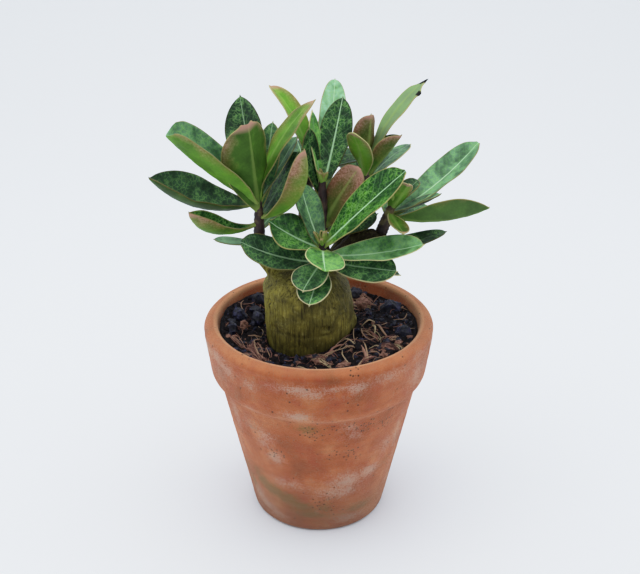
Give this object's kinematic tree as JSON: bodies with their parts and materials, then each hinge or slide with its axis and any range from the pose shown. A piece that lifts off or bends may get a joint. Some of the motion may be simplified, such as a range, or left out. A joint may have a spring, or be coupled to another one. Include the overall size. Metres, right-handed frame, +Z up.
{
  "type": "potted desert rose",
  "caption": "Desert rose adenium with a swollen olive trunk and rosettes of glossy leaves, in a tapered terracotta pot of charcoal and coir soil.",
  "frame": {"origin": "middle of the pot's foot, on the surface that it stands on", "axes": "+Z up, +X to the right and +Y away from the viewer of the picture"},
  "size_m": [0.1792, 0.13, 0.246],
  "materials": {
    "fired_clay": "matt",
    "potting_soil": "loose and crumbly",
    "trunk_bark": "satin, finely striated",
    "charcoal": "matt, broken",
    "coir_husk": "matt, fibrous",
    "leaf_green": "glossy above"
  },
  "bodies": {
    "root": {"pot": "fired_clay", "soil": "potting_soil", "trunk": "trunk_bark", "charcoal_right_back": "charcoal", "charcoal_right": "charcoal", "charcoal_left": "charcoal", "charcoal_left_front": "charcoal", "charcoal_left_back": "charcoal", "charcoal_left_middle": "charcoal", "charcoal_back": "charcoal", "charcoal_back_middle": "charcoal", "husk_left": "coir_husk", "husk_back": "coir_husk", "husk_right_front": "coir_husk", "bark_chip_front": "coir_husk", "shoot_left": "leaf_green", "shoot_front": "leaf_green", "shoot_middle": "leaf_green", "shoot_right": "leaf_green", "shoot_back_right": "leaf_green", "shoot_back_left": "leaf_green"}
  },
  "joints": []
}
